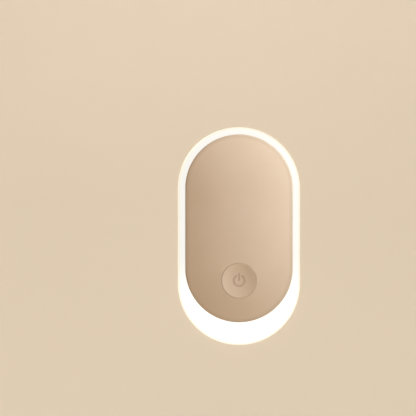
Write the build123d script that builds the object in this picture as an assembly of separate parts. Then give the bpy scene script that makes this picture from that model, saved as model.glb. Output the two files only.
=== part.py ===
from build123d import *
import math
import os

# A plug-in night light: a pill-shaped lamp that is carried by the two plug blades on its back.
# The origin lies on the flat back, midway between the blades. +Z is up, +Y runs along the blades to
# their tips and the lamp faces -Y. A depth is a distance from the back towards the front, along -Y.
# All sizes are in millimetres.

# Outline, seen from the front
body_width = 60.0
body_height = 107.0
rim_width = 3.75  # glowing rim above and beside the panel
chin_height = 11.5  # glowing crescent below the panel

# Diffuser
diffuser_wall = 1.6
diffuser_edge = 4.0  # radius of its front edge
ledge_width = 3.0  # ledge that carries the panel's margin

# Rear housing
housing_wall = 2.0
housing_edge = 4.0  # radius of its back edge
housing_corner = 1.5  # radius inside, between back and side wall
seam_step = 0.3  # the housing lies this far inside the diffuser's outline
seam_drop = 4.0  # from the LED board's back down to the seam
tongue_wall = 1.0
tongue_height = 2.5
rib_wall = 1.2

# Front panel
panel_wall = 1.8
panel_side = 1.4  # upright side below the crown
panel_crown = 3.5
panel_edge = 0.8  # radius between side and crown
lip_wall = 1.2  # lip that centres the panel in the diffuser's opening

# Push button
button_diameter = 17.0
button_rise = 20.5  # its centre above the panel's lower end
button_travel = 0.6
button_wall = 1.4
dish_depth = 0.85
dish_rim = 0.25
flange_width = 1.4
flange_thickness = 1.2
collar_wall = 1.4
collar_length = 3.2
post_diameter = 4.0
key_width = 1.6  # rib that keeps the button from turning

# Tact switch
switch_side = 6.0
switch_height = 3.5
switch_cover_thickness = 0.3
plunger_diameter = 3.4
plunger_foot = 1.4  # length that stays inside the switch
leg_width = 0.7
leg_thickness = 0.2
leg_reach = 1.2

# Circuit boards
board_thickness = 1.2
board_standoff = 3.0
board_margin = 5.25  # from the driver board's side to the housing's wall
board_corner = 1.5
light_gap = 8.0  # from the LED board to the diffuser's ledge
reflector_wall = 1.4
reflector_foot = 1.2
peg_diameter = 1.0
peg_inset = 4.0  # from the panel's end centres

# Parts on the LED board
led_length = 3.0
led_width = 1.4
led_height = 0.8
top_leds = 4
side_leds = 3
chin_leds = 7
sensor_length = 3.2
sensor_width = 1.6
sensor_base = 0.5
sensor_lens = 1.4
shroud_wall = 0.45
shroud_height = 2.4

# Parts on the driver board
capacitor_diameter = 8.0  # smoothing capacitor, the tallest part
capacitor_length = 14.0
capacitor_edge = 0.5
crimp_place = 2.8  # groove near the leads' end of the can
crimp_depth = 0.4
film_width = 11.0
film_length = 13.0
film_height = 6.0
film_edge = 0.6
fuse_diameter = 3.6
fuse_length = 10.0
fuse_lead = 0.7
fuse_lead_run = 1.5
fuse_edge = 0.6
rectifier_length = 4.7
rectifier_width = 3.9
rectifier_height = 2.4
rectifier_legs = 2  # on each side
chip_length = 4.9
chip_width = 3.9
chip_height = 1.5
chip_legs = 4  # on each side
resistor_length = 3.2
resistor_width = 1.6
resistor_height = 0.55
resistor_pitch = 3.0
resistor_count = 4
header_pitch = 2.54
header_count = 4
header_side = 2.5
header_pin = 0.64
header_tip = 0.8  # pin end that stands out of the LED board

# Plug
blade_spacing = 12.7
blade_width = 6.3
blade_thickness = 1.5
blade_length = 16.0
blade_tip = 0.45  # bevel at the blade's end
blade_corner = 1.5
shoulder_width = 1.2
shoulder_thickness = 1.2
plug_pad = 2.0  # raised pad inside the back wall
tail_width = 4.2
tail_length = 2.0  # tail that stands out of the clamp
clamp_thickness = 2.8
clamp_corner = 1.5
wire_diameter = 1.4
wire_bend = 2.0

# Screws
screw_diameter = 2.2
screw_length = 14.0
screw_head = 4.6
screw_head_height = 1.7
small_screw_diameter = 1.6
small_screw_bite = 2.4  # length held in a post
small_head = 3.4
small_head_height = 1.2
recess_share = 0.62  # cross recess across the head
recess_width = 0.7
recess_depth = 0.8
boss_wall = 1.6
boss_angle = 40.0  # direction of a screw from the panel's end centre, above the horizontal
tower_wall = 1.5
tower_web = 7.0  # plastic between the screw's head and the LED board

# Clearances
fit_gap = 0.15  # moulded pieces that centre each other
board_gap = 0.4  # round a circuit board and its parts
part_gap = 1.5  # between parts on the driver board
tall_gap = 0.8  # from the tallest part to the LED board
button_gap = 0.1  # round the push button
stop_gap = 0.1  # between the button's flange and its stop
plunger_gap = 0.08
plunger_spare = 0.4  # plunger length beyond the travel
screw_gap = 0.05  # round a screw's core in its pilot hole
through_gap = 0.3  # round a screw in a through hole, and round a head
blade_gap = 0.1

# Places across the front
body_radius = body_width / 2
body_low = body_width - body_height
panel_radius = body_radius - rim_width
panel_low = body_radius - body_height + chin_height + panel_radius
button_radius = button_diameter / 2
button_z = panel_low - panel_radius + button_rise
inner_radius = body_radius - diffuser_wall
tongue_radius = inner_radius - fit_gap
housing_radius = body_radius - seam_step
housing_inner = tongue_radius - tongue_wall
opening_radius = panel_radius - ledge_width
lip_radius = opening_radius - fit_gap
cavity_radius = lip_radius - lip_wall
reflector_radius = opening_radius + reflector_wall
channel_radius = (reflector_radius + inner_radius) / 2
channel_low = (panel_low + body_low) / 2

# Depths, from the flat back to the crown
pad_front = housing_wall + plug_pad
clamp_back = pad_front + shoulder_thickness
clamp_front = clamp_back + clamp_thickness
tail_end = clamp_front + tail_length
driver_back = housing_wall + board_standoff
driver_front = driver_back + board_thickness
led_back = driver_front + capacitor_diameter + tall_gap
led_front = led_back + board_thickness
seam = led_back - seam_drop
screw_seat = led_back - tower_web
ledge_back = led_front + light_gap
face = ledge_back + diffuser_wall
panel_brow = face + panel_side
panel_top = panel_brow + panel_crown
crown_radius = (panel_radius**2 + panel_crown**2) / (2 * panel_crown)
crown_centre = panel_top - crown_radius
switch_front = led_front + switch_height
plunger_front = switch_front + button_travel + plunger_spare
collar_back = panel_top - panel_wall - collar_length
flange_front = collar_back - stop_gap
flange_back = flange_front - flange_thickness

# Screw places
boss_radius = screw_diameter / 2 + screw_gap + boss_wall
boss_reach = cavity_radius - boss_radius - board_gap
boss_x = boss_reach * math.cos(math.radians(boss_angle))
boss_z = boss_reach * math.sin(math.radians(boss_angle))
boss_spots = [(side * boss_x, z) for side in (-1, 1) for z in (boss_z, panel_low - boss_z)]
tower_bore = screw_head / 2 + through_gap
tower_radius = tower_bore + tower_wall
post_radius = small_screw_diameter / 2 + screw_gap + boss_wall
blade_spots = [(side * blade_spacing / 2, 0) for side in (-1, 1)]
clamp_x = (blade_spacing + blade_thickness) / 2 + shoulder_width + board_gap + post_radius
clamp_spots = [(side * clamp_x, 0) for side in (-1, 1)]
clamp_height = blade_width + 2 * shoulder_width + 2 * board_gap

# Driver board's edges and the places on it
board_half = housing_inner - board_margin
board_top = -clamp_height / 2 - part_gap - board_gap
board_foot = panel_low - boss_z + tower_radius + board_gap
board_post_x = board_half - post_radius
board_posts = [(side * board_post_x, z) for side in (-1, 1)
               for z in (board_top - post_radius, board_foot + post_radius)]
board_screw_spots = [board_posts[0], board_posts[3]]
first_row = board_top - post_radius - small_head / 2 - board_gap
header_x = -board_half + part_gap + header_side / 2
header_z = first_row - header_count * header_pitch / 2
header_spots = [(header_x, header_z + (i - (header_count - 1) / 2) * header_pitch)
                for i in range(header_count)]
capacitor_x = header_x + header_side / 2 + part_gap + capacitor_diameter / 2
capacitor_z = first_row - capacitor_length / 2
film_x = board_half - part_gap - film_width / 2
film_z = first_row - film_length / 2
fuse_x = (capacitor_x + capacitor_diameter / 2 + film_x - film_width / 2) / 2
fuse_z = first_row - fuse_lead_run - fuse_length / 2
tab_half = boss_x - tower_radius - board_gap  # the board's tab lies between the lower screws' towers
rectifier_z = board_foot - rectifier_length / 2
chip_z = rectifier_z - rectifier_length / 2 - part_gap - chip_length / 2
resistor_z = chip_z - chip_length / 2 - part_gap - resistor_length / 2
tab_foot = resistor_z - resistor_length / 2 - part_gap
wire_z = board_top - part_gap
wire_depth = tail_end - wire_diameter / 2


# Shapes used by several pieces

def prism(sketch, near, far):
    """The sketch, drawn as seen from the front, extruded from depth near to depth far."""
    return extrude(Plane.XZ.offset(near) * sketch, far - near)


def pill_outline(radius, low):
    """Upright pill with its upper end centre on the plug's axis and its lower one at height low."""
    return Pos(0, low / 2) * SlotCenterToCenter(-low, 2 * radius, rotation=90)


def discs(spots, radius):
    return Sketch() + [Pos(x, z) * Circle(radius) for x, z in spots]


def blocks(spots, width, height):
    return Sketch() + [Pos(x, z) * Rectangle(width, height) for x, z in spots]


def section_plane(z):
    """Level plane whose x is +X and whose y is the depth."""
    return Plane(origin=(0, 0, z), x_dir=(1, 0, 0), z_dir=(0, 0, -1))


def section(corners, radii):
    """Half section through (radius, depth) corners, each rounded by its radius, or sharp at 0."""
    return make_face(FilletPolyline(*corners, radius=radii, close=True))


def pill(half, low):
    """Solid with the same half section all round a pill-shaped outline."""
    upper = revolve(section_plane(0) * half, Axis((0, 0, 0), (0, -1, 0)), 180)
    lower = revolve(section_plane(low) * half, Axis((0, 0, low), (0, 1, 0)), 180)
    straight = extrude(section_plane(0) * (half + mirror(half, Plane.YZ)), -low)
    return upper + straight + lower


def crowned(radius, back, brow, top, edge):
    """Pill-shaped solid on the panel's end centres, flat behind, cut to a crown by an upright capsule."""
    bend = (radius**2 + (top - brow) ** 2) / (2 * (top - brow))
    half = CenterArc((0, 0), bend, 0, 90) + Line((0, bend), (0, panel_low - bend))
    half += CenterArc((0, panel_low), bend, -90, 90) + Line((bend, panel_low), (bend, 0))
    middle = Plane.XZ.offset(top - bend)
    capsule = revolve(middle * make_face(half), Axis(middle.origin, (0, 0, 1)))
    block = prism(pill_outline(radius, panel_low), back, top) & capsule
    if edge == 0:
        return block
    brow_edges = block.edges().filter_by_position(Axis.Y, -brow - fit_gap, -brow + fit_gap)
    return fillet(brow_edges, edge)


def crown_depth(radius, wall):
    """Depth of the crown, or of a surface that lies a wall behind it, at a radius from its middle."""
    return crown_centre + math.sqrt((crown_radius - wall) ** 2 - radius**2)


def side_ribs(outline):
    """Level ribs from each main screw's place to the side wall, inside an outline."""
    ribs = Sketch()
    for x, z in boss_spots:
        middle = x + math.copysign(body_radius / 2, x)
        ribs += Pos(middle, z) * Rectangle(body_radius, rib_wall)
    return ribs & outline


def screw(spot, seat, way, core, length, head, height):
    """Pan-head screw. Its head bears at depth seat, and way is 1 where the tip points to the front."""
    top = seat - way * height
    centre = Pos(*spot)
    cap = prism(centre * Circle(head / 2), seat, top)
    rim = cap.edges().filter_by(GeomType.CIRCLE).sort_by(Axis.Y)[-1 if way > 0 else 0]
    cap = fillet(rim, height / 2)
    cross = Rectangle(head * recess_share, recess_width) + Rectangle(recess_width, head * recess_share)
    cap -= prism(centre * cross, top, top + way * recess_depth)
    return cap + prism(centre * Circle(core / 2), seat, seat + way * length)


def screws(spots, *sizes):
    return Part() + [screw(spot, *sizes) for spot in spots]


# Casing

def front_panel():
    shell = crowned(panel_radius, face, panel_brow, panel_top, panel_edge)
    shell += prism(pill_outline(lip_radius, panel_low), ledge_back, face)
    hollow_brow = crown_depth(cavity_radius, panel_wall)
    shell -= crowned(cavity_radius, ledge_back, hollow_brow, panel_top - panel_wall, 0)
    inside = crowned(lip_radius, led_front, crown_depth(lip_radius, panel_wall / 2),
                     panel_top - panel_wall / 2, 0)
    button_spot = [(0, button_z)]
    bore = button_radius + button_gap
    behind = prism(discs(boss_spots, boss_radius), led_front, panel_top)
    behind += prism(side_ribs(pill_outline(lip_radius, panel_low)), ledge_back, panel_top)
    behind += prism(discs(button_spot, bore + collar_wall), collar_back, panel_top)
    key = Pos(0, button_z + bore + collar_wall / 2) * Rectangle(key_width, collar_wall)
    behind += prism(key, flange_back - button_travel, panel_top)
    panel = shell + (behind & inside)
    panel -= prism(discs(button_spot, bore), led_front, panel_top)
    pilot_end = screw_seat + screw_length + board_gap
    return panel - prism(discs(boss_spots, screw_diameter / 2 + screw_gap), led_front, pilot_end)


def power_button():
    centre = Pos(0, button_z)
    dish_radius = button_radius - dish_rim
    hollow_radius = (dish_radius**2 + dish_depth**2) / (2 * dish_depth)
    lean = math.asin(max(panel_low - button_z, 0) / crown_radius)
    floor = math.sqrt(crown_radius**2 - dish_radius**2) - dish_depth
    dish_reach = floor + hollow_radius
    dish_y = -crown_centre - dish_reach * math.cos(lean)
    dish_z = button_z if lean == 0 else panel_low - dish_reach * math.sin(lean)
    pocket_front = crown_centre + floor * math.cos(lean) - button_wall
    cap = prism(centre * Circle(button_radius), flange_back, panel_top)
    cap &= crowned(panel_radius, flange_back, panel_brow, panel_top, 0)
    cap -= Pos(0, dish_y, dish_z) * Sphere(hollow_radius)
    flange = Circle(button_radius + flange_width)
    notch_width = key_width + 2 * button_gap
    flange -= Pos(0, button_radius + flange_width / 2) * Rectangle(notch_width, flange_width)
    cap += prism(centre * flange, flange_back, flange_front)
    cap -= prism(centre * Circle(button_radius - button_wall), flange_back, pocket_front)
    return cap + prism(centre * Circle(post_diameter / 2), plunger_front, pocket_front)


def diffuser():
    inner_edge = diffuser_edge - diffuser_wall
    corners = [(0, ledge_back), (0, face), (body_radius, face), (body_radius, seam),
               (inner_radius, seam), (inner_radius, ledge_back)]
    shell = pill(section(corners, [0, 0, diffuser_edge, 0, 0, inner_edge]), body_low)
    return shell - prism(pill_outline(opening_radius, panel_low), ledge_back, face)


def rear_housing():
    tongue_end = seam + tongue_height
    corners = [(0, 0), (housing_radius, 0), (housing_radius, seam), (tongue_radius, seam),
               (tongue_radius, tongue_end), (housing_inner, tongue_end),
               (housing_inner, housing_wall), (0, housing_wall)]
    housing = pill(section(corners, [0, housing_edge, 0, 0, 0, 0, housing_corner, 0]), body_low)
    housing += prism(side_ribs(pill_outline(housing_inner + tongue_wall / 2, body_low)), housing_wall, seam)
    housing += prism(discs(boss_spots, tower_radius), housing_wall, led_back)
    housing += prism(discs(clamp_spots, post_radius), housing_wall, clamp_back)
    housing += prism(discs(board_posts, post_radius), housing_wall, driver_back)
    housing += prism(Rectangle(2 * clamp_x, clamp_height), housing_wall, pad_front)
    housing -= prism(discs(boss_spots, tower_bore), 0, screw_seat)
    housing -= prism(discs(boss_spots, screw_diameter / 2 + through_gap), screw_seat, led_back)
    pilot = small_screw_diameter / 2 + screw_gap
    bite = small_screw_bite + board_gap
    housing -= prism(discs(clamp_spots, pilot), clamp_back - bite, clamp_back)
    housing -= prism(discs(board_screw_spots, pilot), driver_back - bite, driver_back)
    slot = blocks(blade_spots, blade_thickness + 2 * blade_gap, blade_width + 2 * blade_gap)
    return housing - prism(slot, 0, pad_front)


def reflector_frame():
    inside = pill_outline(opening_radius, panel_low)
    wall = prism(pill_outline(reflector_radius, panel_low) - inside, led_front, ledge_back)
    foot = inside - pill_outline(opening_radius - reflector_foot, panel_low)
    wall += prism(foot, led_front, led_front + reflector_foot)
    return wall + prism(discs(peg_spots(), peg_diameter / 2), led_back, led_front)


def peg_spots():
    """Places of the pegs that centre the reflector on the LED board."""
    middle = opening_radius + reflector_wall / 2
    return [(side * middle, z) for side in (-1, 1) for z in (-peg_inset, panel_low + peg_inset)]


# Plug

def plug_blade(x):
    centre = Pos(x, 0)
    profile = fillet(
        (Pos(0, -blade_length / 2) * Rectangle(blade_width, blade_length)).vertices().sort_by(Axis.Y)[:2],
        blade_corner)
    side = Plane(origin=(x - blade_thickness / 2, 0, 0), x_dir=(0, 0, 1), z_dir=(1, 0, 0))
    blade = extrude(side * profile, blade_thickness)
    tip = blade.edges().filter_by(Axis.X, reverse=True).group_by(Axis.Y)[-1]
    blade = chamfer(tip, blade_tip)
    blade += prism(centre * Rectangle(blade_thickness, blade_width), 0, pad_front)
    shoulder = Rectangle(blade_thickness + 2 * shoulder_width, blade_width + 2 * shoulder_width)
    blade += prism(centre * shoulder, pad_front, clamp_back)
    return blade + prism(centre * Rectangle(blade_thickness, tail_width), clamp_back, tail_end)


def pin_clamp():
    outline = RectangleRounded(2 * (clamp_x + post_radius), clamp_height, clamp_corner)
    outline -= blocks(blade_spots, blade_thickness + 2 * blade_gap, tail_width + 2 * blade_gap)
    outline -= discs(clamp_spots, small_screw_diameter / 2 + through_gap)
    return prism(outline, clamp_back, clamp_front)


def wire(x):
    """Wire from a blade's tail down to the driver board."""
    start = (x, -wire_depth, -tail_width / 2)
    route = FilletPolyline(start, (x, -wire_depth, wire_z), (x, -driver_front, wire_z), radius=wire_bend)
    return sweep(Plane(origin=start, z_dir=(0, 0, -1)) * Circle(wire_diameter / 2), route)


# LED board and what stands on it

def led_board():
    outline = pill_outline(inner_radius - board_gap, body_low)
    outline -= discs(boss_spots, screw_diameter / 2 + through_gap)
    outline -= discs(peg_spots(), peg_diameter / 2 + blade_gap)
    outline -= discs(header_spots, header_pin / math.sqrt(2) + blade_gap)
    return prism(outline, led_back, led_front)


def led_spots():
    """Places of the LEDs in the light channel, each with its angle."""
    spots = []
    for i in range(top_leds):
        angle = 180 * (i + 0.5) / top_leds
        spots.append(Rot(0, 0, angle) * Pos(channel_radius, 0))
    for i in range(side_leds):
        z = panel_low * (i + 0.5) / side_leds
        spots.append(Pos(channel_radius, z))
        spots.append(Pos(-channel_radius, z))
    for i in range(chin_leds):
        angle = -180 * (i + 0.5) / chin_leds
        spots.append(Pos(0, channel_low) * Rot(0, 0, angle) * Pos(channel_radius, 0))
    return spots


def leds():
    outline = Sketch() + [spot * Rectangle(led_width, led_length) for spot in led_spots()]
    return prism(outline, led_front, led_front + led_height)


def light_sensor():
    centre = Pos(0, channel_radius)
    base = prism(centre * Rectangle(sensor_length, sensor_width), led_front, led_front + sensor_base)
    lens = Pos(0, -led_front - sensor_base, channel_radius) * Sphere(sensor_lens / 2)
    in_front = prism(centre * Circle(sensor_lens), led_front, led_front + sensor_base + sensor_lens)
    return base + (lens & in_front)


def sensor_shroud():
    bore = Rectangle(sensor_length + 2 * fit_gap, sensor_width + 2 * fit_gap)
    wall = 2 * (fit_gap + shroud_wall)
    outline = RectangleRounded(sensor_length + wall, sensor_width + wall, shroud_wall)
    return prism(Pos(0, channel_radius) * (outline - bore), led_front, led_front + shroud_height)


def switch_base():
    cavity = plunger_diameter / 2 + plunger_gap
    cover_back = switch_front - switch_cover_thickness
    base = prism(Pos(0, button_z) * Rectangle(switch_side, switch_side), led_front, cover_back)
    cavity_back = plunger_front - plunger_length() - button_travel - plunger_gap
    return base - prism(Pos(0, button_z) * Circle(cavity), cavity_back, cover_back)


def switch_cover():
    plate = Rectangle(switch_side, switch_side) - Circle(plunger_diameter / 2 + plunger_gap)
    return prism(Pos(0, button_z) * plate, switch_front - switch_cover_thickness, switch_front)


def switch_legs():
    reach = switch_side / 2 + leg_reach / 2
    quarter = switch_side / 4
    spots = [(side * reach, button_z + row * quarter) for side in (-1, 1) for row in (-1, 1)]
    return prism(blocks(spots, leg_reach, leg_width), led_front, led_front + leg_thickness)


def plunger_length():
    return plunger_foot + button_travel + plunger_spare


def switch_plunger():
    plunger_back = plunger_front - plunger_length()
    return prism(Pos(0, button_z) * Circle(plunger_diameter / 2), plunger_back, plunger_front)


# Driver board and what stands on it

def driver_board():
    middle = (board_top + board_foot) / 2
    outline = Pos(0, middle) * RectangleRounded(2 * board_half, board_top - board_foot, board_corner)
    tab = RectangleRounded(2 * tab_half, middle - tab_foot, board_corner)
    outline += Pos(0, (middle + tab_foot) / 2) * tab
    tab_roots = [outline.vertices().sort_by_distance((side * tab_half, board_foot))[0] for side in (-1, 1)]
    outline = fillet(tab_roots, board_corner)
    outline -= discs(board_screw_spots, small_screw_diameter / 2 + through_gap)
    return prism(outline, driver_back, driver_front)


def on_board(x, z, width, length, height):
    return prism(Pos(x, z) * Rectangle(width, length), driver_front, driver_front + height)


def film_capacitor():
    box = on_board(film_x, film_z, film_width, film_length, film_height)
    return fillet(box.faces().sort_by(Axis.Y)[0].edges(), film_edge)


def smoothing_capacitor():
    """Electrolytic can that lies on the board, with the crimp groove near its end."""
    radius = capacitor_diameter / 2
    half = section(
        [(0, 0), (radius, 0), (radius, crimp_place - crimp_depth), (radius - crimp_depth, crimp_place),
         (radius, crimp_place + crimp_depth), (radius, capacitor_length), (0, capacitor_length)],
        [0, capacitor_edge, 0, 0, 0, capacitor_edge, 0])
    place = Plane(origin=(capacitor_x, -driver_front - radius, capacitor_z - capacitor_length / 2),
                  x_dir=(1, 0, 0), z_dir=(0, -1, 0))
    axis = Axis(place.origin, (0, 0, 1))
    return revolve(place * half, axis)


def fuse_resistor():
    depth = -driver_front - fuse_diameter / 2
    body = Pos(fuse_x, depth, fuse_z) * Cylinder(fuse_diameter / 2, fuse_length)
    body = fillet(body.edges().filter_by(GeomType.CIRCLE), fuse_edge)
    half_run = fuse_length / 2 + fuse_lead_run
    route = FilletPolyline(
        (fuse_x, -driver_front, fuse_z + half_run), (fuse_x, depth, fuse_z + half_run),
        (fuse_x, depth, fuse_z - half_run), (fuse_x, -driver_front, fuse_z - half_run), radius=fuse_lead)
    foot = Plane(origin=(fuse_x, -driver_front, fuse_z + half_run), z_dir=(0, -1, 0))
    return body + sweep(foot * Circle(fuse_lead / 2), route)


def gull_package(x, z, width, length, height, legs):
    """Moulded chip with a row of legs along each side, each a third as wide as their pitch."""
    body = on_board(x, z, width, length, height)
    pitch = length / legs
    spots = [(x + side * (width + leg_reach) / 2, z + (i - (legs - 1) / 2) * pitch)
             for side in (-1, 1) for i in range(legs)]
    return body + prism(blocks(spots, leg_reach, pitch / 3), driver_front, driver_front + leg_thickness)


def bridge_rectifier():
    return gull_package(0, rectifier_z, rectifier_width, rectifier_length, rectifier_height, rectifier_legs)


def control_chip():
    return gull_package(0, chip_z, chip_width, chip_length, chip_height, chip_legs)


def chip_resistors():
    spots = [((i - (resistor_count - 1) / 2) * resistor_pitch, resistor_z) for i in range(resistor_count)]
    outline = blocks(spots, resistor_width, resistor_length)
    return prism(outline, driver_front, driver_front + resistor_height)


def header_block():
    outline = Pos(header_x, header_z) * Rectangle(header_side, header_count * header_pitch)
    outline -= blocks(header_spots, header_pin + blade_gap, header_pin + blade_gap)
    return prism(outline, driver_front, driver_front + header_side)


def header_pins():
    return prism(blocks(header_spots, header_pin, header_pin), driver_front, led_front + header_tip)


# Fasteners

def housing_screws():
    return screws(boss_spots, screw_seat, 1, screw_diameter, screw_length, screw_head, screw_head_height)


def clamp_screws():
    length = clamp_thickness + small_screw_bite
    return screws(clamp_spots, clamp_front, -1, small_screw_diameter, length, small_head, small_head_height)


def board_screws():
    length = board_thickness + small_screw_bite
    return screws(board_screw_spots, driver_front, -1, small_screw_diameter, length,
                  small_head, small_head_height)


pieces = {
    "front_panel": front_panel(),
    "power_button": power_button(),
    "diffuser": diffuser(),
    "rear_housing": rear_housing(),
    "reflector_frame": reflector_frame(),
    "live_blade": plug_blade(blade_spots[0][0]),
    "neutral_blade": plug_blade(blade_spots[1][0]),
    "pin_clamp": pin_clamp(),
    "live_wire": wire(blade_spots[0][0]),
    "neutral_wire": wire(blade_spots[1][0]),
    "led_board": led_board(),
    "leds": leds(),
    "light_sensor": light_sensor(),
    "sensor_shroud": sensor_shroud(),
    "switch_base": switch_base(),
    "switch_cover": switch_cover(),
    "switch_legs": switch_legs(),
    "switch_plunger": switch_plunger(),
    "driver_board": driver_board(),
    "film_capacitor": film_capacitor(),
    "smoothing_capacitor": smoothing_capacitor(),
    "fuse_resistor": fuse_resistor(),
    "bridge_rectifier": bridge_rectifier(),
    "control_chip": control_chip(),
    "chip_resistors": chip_resistors(),
    "header_block": header_block(),
    "header_pins": header_pins(),
    "housing_screws": housing_screws(),
    "clamp_screws": clamp_screws(),
    "board_screws": board_screws(),
}

os.makedirs("parts", exist_ok=True)
for name, shape in pieces.items():
    export_step(shape, f"parts/{name}.step")
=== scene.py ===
import math

import bmesh
import bpy
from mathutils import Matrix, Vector
from mathutils.bvhtree import BVHTree


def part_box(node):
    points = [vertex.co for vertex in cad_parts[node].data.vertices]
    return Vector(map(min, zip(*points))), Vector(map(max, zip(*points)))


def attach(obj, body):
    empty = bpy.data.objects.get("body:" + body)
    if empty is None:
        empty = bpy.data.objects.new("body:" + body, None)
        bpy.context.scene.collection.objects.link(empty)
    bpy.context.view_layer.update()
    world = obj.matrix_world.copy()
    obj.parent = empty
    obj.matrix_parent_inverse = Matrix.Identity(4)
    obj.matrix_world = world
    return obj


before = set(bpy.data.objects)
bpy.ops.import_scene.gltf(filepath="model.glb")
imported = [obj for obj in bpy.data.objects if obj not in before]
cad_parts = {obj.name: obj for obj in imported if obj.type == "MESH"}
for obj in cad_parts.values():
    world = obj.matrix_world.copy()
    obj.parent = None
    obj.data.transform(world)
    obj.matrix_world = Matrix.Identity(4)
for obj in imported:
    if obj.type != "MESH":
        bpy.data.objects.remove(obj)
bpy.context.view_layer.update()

# The night light, upright: +Z is up and it faces -Y. Sizes are in metres, angles in degrees and light
# powers in watts, and all colours are linear.
mm = 0.001

# Picture
picture_width = 203.3 * mm  # what the picture spans at the lamp's front
picture_x = -15.15 * mm  # middle of the picture, in the frame
picture_z = -9.7 * mm
camera_distance = 0.75  # from the lamp's front
sensor_width = 36.0  # camera sensor, in millimetres

# Power symbol
symbol_radius = 2.65 * mm  # middle of the ring's stroke
symbol_stroke = 0.9 * mm
symbol_gap = 24.0  # half of the opening at the top
symbol_bar_top = 3.6 * mm
symbol_bar_foot = -0.1 * mm
symbol_rise = 0.03 * mm  # above the dish
symbol_depth = 0.12 * mm  # below the dish
symbol_ring_steps = 64
symbol_bar_steps = 16
probe_start = 1 * mm  # how far in front of the button the search for its surface starts

# Tones that follow the shape: painted shade along the panel's edge, and the diffuser's glow
panel_shade_band = 2.2 * mm  # width of the painted shade along the panel's edge
rim_edge = 1.5 * mm  # width of the diffuser's creamier edge
rim_front = 2 * mm  # depth of the diffuser's white front
chin_top = -35 * mm  # height where the diffuser starts to brighten downwards
chin_full = -55 * mm  # height from which it is brightest

# Room
floor_z = -0.5
studio_radius = 1.5
studio_sides = 96
cove_radius = 0.5
cove_steps = 16
wall_top = 1.3
merge_distance = 1e-6

# Lights
warm_white = (1.0, 0.88, 0.74)
cool_white = (0.83, 0.96, 1.0)
lamp_middle = (0, -0.02, -0.02)
key_position = (0.34, -0.20, 0.17)
key_aim = (0, -0.02, 0.03)
key_size = 0.14
key_fan = 60.0
key_power = 0.28
overhead_position = (0, 0, 1.25)
overhead_size = 1.6
overhead_fan = 180.0
overhead_power = 4.5
back_position = (-0.5, 0.8, 0.5)
back_size = 0.6
back_fan = 60.0
back_power = 1.0
wall_light_reach = 0.3  # from the middle of the room
wall_light_height = 1.1
wall_light_aim = -0.25  # height on the wall
wall_light_size = 0.8
wall_light_fan = 120.0
rear_wall_power = 5.2
left_wall_power = 5.0
right_wall_power = 3.2
front_wall_power = 2.2
air_strength = 0.1

# Bloom round what is brightest in the picture
bloom_threshold = 0.8
bloom_strength = 0.35
bloom_size = 0.2
bloom_tint = (1.0, 0.80, 0.45)

# Spans of the noise's values that are put to use: nearly all, or the middle ones for clearer clouds
noise_span = (0.3, 0.7)
cloud_span = (0.35, 0.65)

# Numbers of a mix node's colour sockets
mix_share = 0
mix_first = 6
mix_second = 7
mix_result = 2

# Front and rim, read from the frame
panel_low_corner, panel_high_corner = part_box("front_panel")
panel_radius = (panel_high_corner.x - panel_low_corner.x) / 2
panel_low = panel_low_corner.z + panel_radius
rim_low_corner, rim_high_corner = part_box("diffuser")
rim_radius = (rim_high_corner.x - rim_low_corner.x) / 2
rim_low = rim_low_corner.z + rim_radius
front_y = rim_low_corner.y
seam_y = rim_high_corner.y


# Nodes that several materials use

def new_material(name):
    made = bpy.data.materials.new(name)
    made.use_nodes = True
    return made


def shader(made):
    return made.node_tree.nodes["Principled BSDF"]


def add(made, kind, **settings):
    node = made.node_tree.nodes.new(kind)
    for key, value in settings.items():
        setattr(node, key, value)
    return node


def link(made, source, target):
    made.node_tree.links.new(source, target)


def place(made):
    """Point on the surface, in the frame's metres."""
    return add(made, "ShaderNodeTexCoord").outputs["Object"]


def scaled_place(made, size, stretch):
    node = add(made, "ShaderNodeMapping")
    node.inputs["Scale"].default_value = [1 / (size * s) for s in stretch]
    link(made, place(made), node.inputs["Vector"])
    return node.outputs["Vector"]


def noise(made, size, stretch=(1, 1, 1), detail=3):
    """Soft grains about one size across, drawn out along the directions of larger stretch."""
    node = add(made, "ShaderNodeTexNoise")
    node.inputs["Scale"].default_value = 1
    node.inputs["Detail"].default_value = detail
    link(made, scaled_place(made, size, stretch), node.inputs["Vector"])
    return node.outputs["Fac"]


def cells(made, size):
    """Square cells, each with its own random grey."""
    node = add(made, "ShaderNodeTexVoronoi", distance="CHEBYCHEV")
    node.inputs["Scale"].default_value = 1
    node.inputs["Randomness"].default_value = 0.6
    link(made, scaled_place(made, size, (1, 1, 1)), node.inputs["Vector"])
    return node.outputs["Color"]


def axis_value(made, axis):
    node = add(made, "ShaderNodeSeparateXYZ")
    link(made, place(made), node.inputs["Vector"])
    return node.outputs[axis]


def spread(made, value, start, end, low=0, high=1):
    """Runs from low to high while the value runs from start to end."""
    node = add(made, "ShaderNodeMapRange")
    node.inputs["From Min"].default_value = start
    node.inputs["From Max"].default_value = end
    node.inputs["To Min"].default_value = low
    node.inputs["To Max"].default_value = high
    link(made, value, node.inputs["Value"])
    return node.outputs["Result"]


def mix(made, share, first, second):
    """Goes from the first colour to the second as the share goes from 0 to 1."""
    node = add(made, "ShaderNodeMix", data_type="RGBA")
    link(made, share, node.inputs[mix_share])
    for colour, socket in ((first, mix_first), (second, mix_second)):
        if isinstance(colour, tuple):
            node.inputs[socket].default_value = (*colour, 1)
        else:
            link(made, colour, node.inputs[socket])
    return node.outputs[mix_result]


def clouds(made, size, first, second, span=noise_span):
    """Two tones in soft clouds about one size across."""
    return mix(made, spread(made, noise(made, size), *span), first, second)


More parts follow.
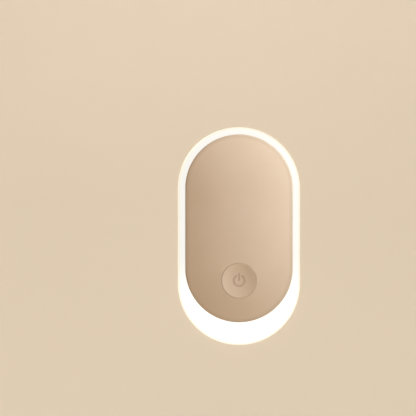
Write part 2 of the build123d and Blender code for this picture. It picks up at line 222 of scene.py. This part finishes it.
def pill_distance(made, low):
    """Distance from the upright line that joins the end centres of a pill, at heights 0 and low."""
    height = axis_value(made, "Z")
    nearest = add(made, "ShaderNodeClamp")
    nearest.inputs["Min"].default_value = low
    nearest.inputs["Max"].default_value = 0
    link(made, height, nearest.inputs["Value"])
    beyond = add(made, "ShaderNodeMath", operation="SUBTRACT")
    link(made, height, beyond.inputs[0])
    link(made, nearest.outputs["Result"], beyond.inputs[1])
    flat = add(made, "ShaderNodeCombineXYZ")
    link(made, axis_value(made, "X"), flat.inputs["X"])
    link(made, beyond.outputs["Value"], flat.inputs["Z"])
    length = add(made, "ShaderNodeVectorMath", operation="LENGTH")
    link(made, flat.outputs["Vector"], length.inputs[0])
    return length.outputs["Value"]


def setting(made, name, value):
    shader(made).inputs[name].default_value = value


def paint(made, colour):
    link(made, colour, shader(made).inputs["Base Color"])


def alight(made, colour, strength):
    link(made, colour, shader(made).inputs["Emission Color"])
    setting(made, "Emission Strength", strength)


def rough(made, fine, roughness):
    """Lets a fine noise vary the roughness between two values."""
    link(made, spread(made, fine, *noise_span, *roughness), shader(made).inputs["Roughness"])


def relief(made, height, depth):
    node = add(made, "ShaderNodeBump")
    node.inputs["Distance"].default_value = depth
    link(made, height, node.inputs["Height"])
    link(made, node.outputs["Normal"], shader(made).inputs["Normal"])


def mottled(name, first, second, cloud, grain, roughness, depth, metal=0):
    """Material with two tones in soft clouds, and a fine grain in its roughness and relief."""
    made = new_material(name)
    paint(made, clouds(made, cloud, first, second, cloud_span))
    fine = noise(made, grain)
    rough(made, fine, roughness)
    relief(made, fine, depth)
    setting(made, "Metallic", metal)
    return made


# Materials of the casing

def panel_plastic():
    """Satin champagne moulding with pale flecks, and a darker painted shade along its rounded edge."""
    pale_tone = (0.65, 0.50, 0.39)
    deep_tone = (0.625, 0.477, 0.368)
    fleck_tone = (0.70, 0.55, 0.44)
    # painted shade: the darker tone of the panel's rounded edge
    edge_shade_tone = (0.52, 0.40, 0.31)
    fleck_span = (0.55, 0.75)  # the noise's highest values alone
    made = new_material("panel_plastic")
    tone = clouds(made, size=30 * mm, first=pale_tone, second=deep_tone)
    flecks = spread(made, noise(made, size=0.5 * mm), *fleck_span, high=0.25)
    tone = mix(made, flecks, tone, fleck_tone)
    # painted shade: the tone darkens across the last band before the panel's rounded edge
    edge = spread(made, pill_distance(made, panel_low), panel_radius - panel_shade_band, panel_radius)
    paint(made, mix(made, edge, tone, edge_shade_tone))
    grain = noise(made, size=0.35 * mm)
    rough(made, grain, roughness=(0.50, 0.60))
    relief(made, grain, depth=0.004 * mm)
    setting(made, "Specular IOR Level", 0.2)
    return made


def milky_plastic():
    """Opal moulding lit from inside: white in front, creamier round its edge and towards the seam."""
    body_tone = (0.05, 0.0485, 0.045)
    body_cloud = (0.06, 0.058, 0.0535)
    ring_glow = (0.885, 0.875, 0.83)
    chin_glow = (1.12, 1.10, 1.04)
    cloud_glow = (0.93, 0.91, 0.86)
    edge_glow = (0.90, 0.81, 0.63)
    seam_glow = (0.66, 0.47, 0.26)
    made = new_material("milky_plastic")
    paint(made, clouds(made, size=9 * mm, first=body_tone, second=body_cloud))
    lower = spread(made, axis_value(made, "Z"), chin_full, chin_top, low=1, high=0)
    glow = mix(made, lower, ring_glow, chin_glow)
    flicker = spread(made, noise(made, size=14 * mm), *cloud_span, high=0.3)
    glow = mix(made, flicker, glow, cloud_glow)
    edge = spread(made, pill_distance(made, rim_low), rim_radius - rim_edge, rim_radius)
    glow = mix(made, edge, glow, edge_glow)
    depth = spread(made, axis_value(made, "Y"), front_y + rim_front, seam_y)
    glow = mix(made, depth, glow, seam_glow)
    alight(made, glow, strength=1)
    grain = noise(made, size=0.6 * mm)
    rough(made, grain, roughness=(0.40, 0.50))
    relief(made, grain, depth=0.003 * mm)
    setting(made, "Specular IOR Level", 0.15)
    return made


def housing_plastic():
    """Cream moulding with a fine spark-eroded texture."""
    made = mottled(
        "housing_plastic",
        first=(0.60, 0.52, 0.433),
        second=(0.58, 0.499, 0.414),
        cloud=22 * mm,
        grain=0.45 * mm,
        roughness=(0.48, 0.62),
        depth=0.02 * mm,
    )
    setting(made, "Specular IOR Level", 0.4)
    return made


def symbol_ink():
    """Thin brown ink of the power symbol, a little uneven."""
    return mottled(
        "symbol_ink",
        first=(0.47, 0.342, 0.254),
        second=(0.50, 0.368, 0.276),
        cloud=0.8 * mm,
        grain=0.3 * mm,
        roughness=(0.45, 0.60),
        depth=0.004 * mm,
    )


# Materials of the plug and the screws

def nickel_plate():
    """Nickel-plated brass with fine draw marks along the blade."""
    bright_tone = (0.70, 0.72, 0.74)
    dull_tone = (0.62, 0.64, 0.66)
    made = new_material("nickel_plate")
    paint(made, clouds(made, size=4 * mm, first=bright_tone, second=dull_tone))
    streak = noise(made, size=0.1 * mm, stretch=(1, 120, 1), detail=1)
    rough(made, streak, roughness=(0.16, 0.32))
    relief(made, streak, depth=0.0006 * mm)
    setting(made, "Metallic", 1)
    return made


def steel():
    """Zinc-plated steel of the screws and the switch."""
    return mottled(
        "steel",
        first=(0.60, 0.60, 0.59),
        second=(0.50, 0.51, 0.52),
        cloud=1.2 * mm,
        grain=0.2 * mm,
        roughness=(0.25, 0.42),
        depth=0.004 * mm,
        metal=1,
    )


# Materials inside

def white_plastic():
    return mottled(
        "white_plastic",
        first=(0.86, 0.86, 0.84),
        second=(0.80, 0.80, 0.78),
        cloud=12 * mm,
        grain=0.4 * mm,
        roughness=(0.4, 0.5),
        depth=0.006 * mm,
    )


def black_plastic():
    return mottled(
        "black_plastic",
        first=(0.018, 0.018, 0.02),
        second=(0.03, 0.03, 0.032),
        cloud=2 * mm,
        grain=0.15 * mm,
        roughness=(0.45, 0.65),
        depth=0.008 * mm,
    )


def insulation(name, first, second):
    """Smooth coloured skin of a wire."""
    return mottled(
        name,
        first=first,
        second=second,
        cloud=2 * mm,
        grain=0.3 * mm,
        roughness=(0.28, 0.4),
        depth=0.004 * mm,
    )


def brown_insulation():
    return insulation("brown_insulation", (0.16, 0.06, 0.025), (0.21, 0.085, 0.035))


def blue_insulation():
    return insulation("blue_insulation", (0.025, 0.09, 0.38), (0.035, 0.13, 0.46))


def film_coating():
    """Glossy box of the film capacitor."""
    return mottled(
        "film_coating",
        first=(0.47, 0.11, 0.03),
        second=(0.55, 0.15, 0.05),
        cloud=3 * mm,
        grain=0.2 * mm,
        roughness=(0.22, 0.34),
        depth=0.004 * mm,
    )


def resistor_coating():
    """Flameproof coating of the fusible resistor."""
    return mottled(
        "resistor_coating",
        first=(0.22, 0.37, 0.25),
        second=(0.29, 0.45, 0.32),
        cloud=1.5 * mm,
        grain=0.25 * mm,
        roughness=(0.4, 0.55),
        depth=0.01 * mm,
    )


def can_aluminium():
    """Drawn can of the smoothing capacitor."""
    return mottled(
        "can_aluminium",
        first=(0.70, 0.70, 0.72),
        second=(0.62, 0.62, 0.65),
        cloud=2 * mm,
        grain=0.2 * mm,
        roughness=(0.2, 0.36),
        depth=0.002 * mm,
        metal=1,
    )


def pin_brass():
    return mottled(
        "pin_brass",
        first=(0.75, 0.60, 0.30),
        second=(0.68, 0.54, 0.28),
        cloud=0.8 * mm,
        grain=0.1 * mm,
        roughness=(0.2, 0.35),
        depth=0.002 * mm,
        metal=1,
    )


def circuit_board(name, mask, copper):
    """Solder mask with the copper areas under it showing through as blocks of another tone."""
    copper_span = (0.35, 0.4)  # greys between which a cell turns from mask to copper
    made = new_material(name)
    areas = spread(made, cells(made, size=4 * mm), *copper_span)
    paint(made, mix(made, areas, mask, copper))
    rough(made, noise(made, size=0.5 * mm), roughness=(0.22, 0.35))
    relief(made, areas, depth=0.03 * mm)
    return made


def white_board():
    return circuit_board("white_board", mask=(0.84, 0.85, 0.82), copper=(0.78, 0.80, 0.76))


def green_board():
    return circuit_board("green_board", mask=(0.02, 0.16, 0.06), copper=(0.04, 0.25, 0.10))


def led_resin():
    """Phosphor resin, alight in two warm tones."""
    made = mottled(
        "led_resin",
        first=(0.95, 0.72, 0.20),
        second=(0.90, 0.62, 0.14),
        cloud=0.8 * mm,
        grain=0.1 * mm,
        roughness=(0.2, 0.35),
        depth=0.003 * mm,
    )
    glow = clouds(made, size=0.7 * mm, first=(1.0, 0.80, 0.42), second=(1.0, 0.90, 0.62))
    alight(made, glow, strength=2)
    return made


def clear_resin():
    """Clear body of the light sensor."""
    made = mottled(
        "clear_resin",
        first=(0.90, 0.92, 0.95),
        second=(0.84, 0.87, 0.92),
        cloud=0.8 * mm,
        grain=0.2 * mm,
        roughness=(0.04, 0.1),
        depth=0.001 * mm,
    )
    setting(made, "Transmission Weight", 0.8)
    return made


def dress(nodes):
    """Gives each node the material of the slot that the frame names for it."""
    makers = (panel_plastic, milky_plastic, housing_plastic, nickel_plate, steel, white_plastic,
              black_plastic, brown_insulation, blue_insulation, film_coating, resistor_coating,
              can_aluminium, pin_brass, white_board, green_board, led_resin, clear_resin)
    finishes = {maker.__name__: maker for maker in makers}
    made = {}
    for node in nodes.values():
        for slot in node.material_slots:
            name = slot.material.name.split(".")[0]
            if name not in made:
                made[name] = finishes[name]()
            slot.material = made[name]


# New objects

def add_object(name, data):
    made = bpy.data.objects.new(name, data)
    bpy.context.scene.collection.objects.link(made)
    return made


def mesh_object(name, mesh, finish):
    data = bpy.data.meshes.new(name)
    mesh.to_mesh(data)
    mesh.free()
    data.materials.append(finish)
    return add_object(name, data)


# Power symbol on the button

def ring_ribbon():
    """Points of the ring's stroke as pairs, inner and outer, from one side of its opening to the other."""
    inner = symbol_radius - symbol_stroke / 2
    outer = symbol_radius + symbol_stroke / 2
    sweep = 360 - 2 * symbol_gap
    pairs = []
    for step in range(symbol_ring_steps + 1):
        angle = math.radians(90 + symbol_gap + sweep * step / symbol_ring_steps)
        pairs.append([(r * math.cos(angle), r * math.sin(angle)) for r in (inner, outer)])
    return pairs


def bar_ribbon():
    """Points of the bar's stroke as pairs, left and right, from its foot to its top."""
    half = symbol_stroke / 2
    pairs = []
    for step in range(symbol_bar_steps + 1):
        z = symbol_bar_foot + (symbol_bar_top - symbol_bar_foot) * step / symbol_bar_steps
        pairs.append([(-half, z), (half, z)])
    return pairs


def add_ribbon(mesh, pairs, centre_z, depth_at):
    """Closed strip along the pairs, from just below the dish's surface to just above it."""
    rows = []
    for pair in pairs:
        row = []
        for x, z in pair:
            surface_y = depth_at(x, centre_z + z)
            row.append(mesh.verts.new((x, surface_y - symbol_rise, centre_z + z)))
            row.append(mesh.verts.new((x, surface_y + symbol_depth, centre_z + z)))
        rows.append(row)
    for first, second in zip(rows, rows[1:]):
        for a, b in ((0, 2), (2, 3), (3, 1), (1, 0)):
            mesh.faces.new((first[a], first[b], second[b], second[a]))
    for row in (rows[0], rows[-1]):
        mesh.faces.new((row[0], row[2], row[3], row[1]))


def power_symbol(button):
    """Ring and bar that follow the button's dish."""
    points = [vertex.co for vertex in button.data.vertices]
    faces = [polygon.vertices for polygon in button.data.polygons]
    surface = BVHTree.FromPolygons(points, faces)
    low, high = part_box("power_button")
    centre_z = low.z + (high.x - low.x) / 2

    def depth_at(x, z):
        return surface.ray_cast(Vector((x, low.y - probe_start, z)), Vector((0, 1, 0)))[0].y

    mesh = bmesh.new()
    add_ribbon(mesh, ring_ribbon(), centre_z, depth_at)
    add_ribbon(mesh, bar_ribbon(), centre_z, depth_at)
    bmesh.ops.recalc_face_normals(mesh, faces=mesh.faces)
    symbol = mesh_object("power_symbol", mesh, symbol_ink())
    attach(symbol, "button")


# Studio: floor, cove and wall all round, lights, camera and bloom

def studio_profile():
    """Points (radius, height) from the middle of the floor up the wall."""
    cove_start = studio_radius - cove_radius
    points = [(0.0, floor_z), (cove_start, floor_z)]
    for step in range(1, cove_steps + 1):
        angle = math.radians(90 * step / cove_steps)
        radius = cove_start + cove_radius * math.sin(angle)
        height = floor_z + cove_radius * (1 - math.cos(angle))
        points.append((radius, height))
    points.append((studio_radius, wall_top))
    return points


def backdrop_paper():
    made = mottled(
        "backdrop_paper",
        first=(0.84, 0.81, 0.76),
        second=(0.825, 0.795, 0.745),
        cloud=0.6,
        grain=2 * mm,
        roughness=(0.85, 0.95),
        depth=0.02 * mm,
    )
    setting(made, "Specular IOR Level", 0.1)
    return made


def studio():
    """Round room: its profile, turned about the upright axis."""
    mesh = bmesh.new()
    edge = [mesh.verts.new((radius, 0, height)) for radius, height in studio_profile()]
    lines = [mesh.edges.new(pair) for pair in zip(edge, edge[1:])]
    bmesh.ops.spin(mesh, geom=edge + lines, axis=(0, 0, 1), cent=(0, 0, 0), angle=2 * math.pi,
                   steps=studio_sides, use_merge=True)
    bmesh.ops.remove_doubles(mesh, verts=mesh.verts, dist=merge_distance)
    room = mesh_object("studio", mesh, backdrop_paper())
    room.data.shade_smooth()


def area_light(name, position, aim, size, fan, power, colour):
    """Soft box at a position, aimed at a point, whose light fans out by an angle."""
    data = bpy.data.lights.new(name, "AREA")
    data.size = size
    data.spread = math.radians(fan)
    data.energy = power
    data.color = colour
    holder = add_object(name, data)
    holder.location = position
    holder.rotation_euler = (Vector(aim) - holder.location).to_track_quat("-Z", "Y").to_euler()
    holder.visible_camera = False


def wall_light(name, x, y, power):
    """Soft box high in the room that washes the wall in one direction."""
    position = (x * wall_light_reach, y * wall_light_reach, wall_light_height)
    aim = (x * studio_radius, y * studio_radius, wall_light_aim)
    area_light(name, position, aim, wall_light_size, wall_light_fan, power, warm_white)


def lights():
    area_light("key", key_position, key_aim, key_size, key_fan, key_power, cool_white)
    area_light("overhead", overhead_position, lamp_middle, overhead_size, overhead_fan, overhead_power,
               warm_white)
    area_light("back", back_position, lamp_middle, back_size, back_fan, back_power, warm_white)
    wall_light("rear_wall", 0, 1, rear_wall_power)
    wall_light("left_wall", -1, 0, left_wall_power)
    wall_light("right_wall", 1, 0, right_wall_power)
    wall_light("front_wall", 0, -1, front_wall_power)


def air():
    """Even light from all round."""
    world = bpy.data.worlds.new("studio_air")
    world.use_nodes = True
    background = world.node_tree.nodes["Background"]
    background.inputs["Color"].default_value = (*warm_white, 1)
    background.inputs["Strength"].default_value = air_strength
    bpy.context.scene.world = world


def camera():
    """Camera straight in front, with the lens that the picture's span needs."""
    data = bpy.data.cameras.new("camera")
    data.sensor_width = sensor_width
    data.lens = sensor_width * camera_distance / picture_width
    holder = add_object("camera", data)
    holder.location = (picture_x, front_y - camera_distance, picture_z)
    holder.rotation_euler = (math.radians(90), 0, 0)
    bpy.context.scene.camera = holder


def bloom():
    """Soft bloom round what is brightest, as a lens gives."""
    scene = bpy.context.scene
    scene.use_nodes = True
    tree = scene.node_tree
    tree.nodes.clear()
    layers = tree.nodes.new("CompositorNodeRLayers")
    glare = tree.nodes.new("CompositorNodeGlare")
    glare.glare_type = "BLOOM"
    glare.inputs["Threshold"].default_value = bloom_threshold
    glare.inputs["Strength"].default_value = bloom_strength
    glare.inputs["Tint"].default_value = (*bloom_tint, 1)
    glare.inputs["Size"].default_value = bloom_size
    picture = tree.nodes.new("CompositorNodeComposite")
    tree.links.new(layers.outputs["Image"], glare.inputs["Image"])
    tree.links.new(glare.outputs["Image"], picture.inputs["Image"])


dress(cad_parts)
power_symbol(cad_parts["power_button"])
studio()
lights()
air()
camera()
bloom()
bpy.context.scene.view_settings.view_transform = "Standard"

bpy.context.view_layer.update()
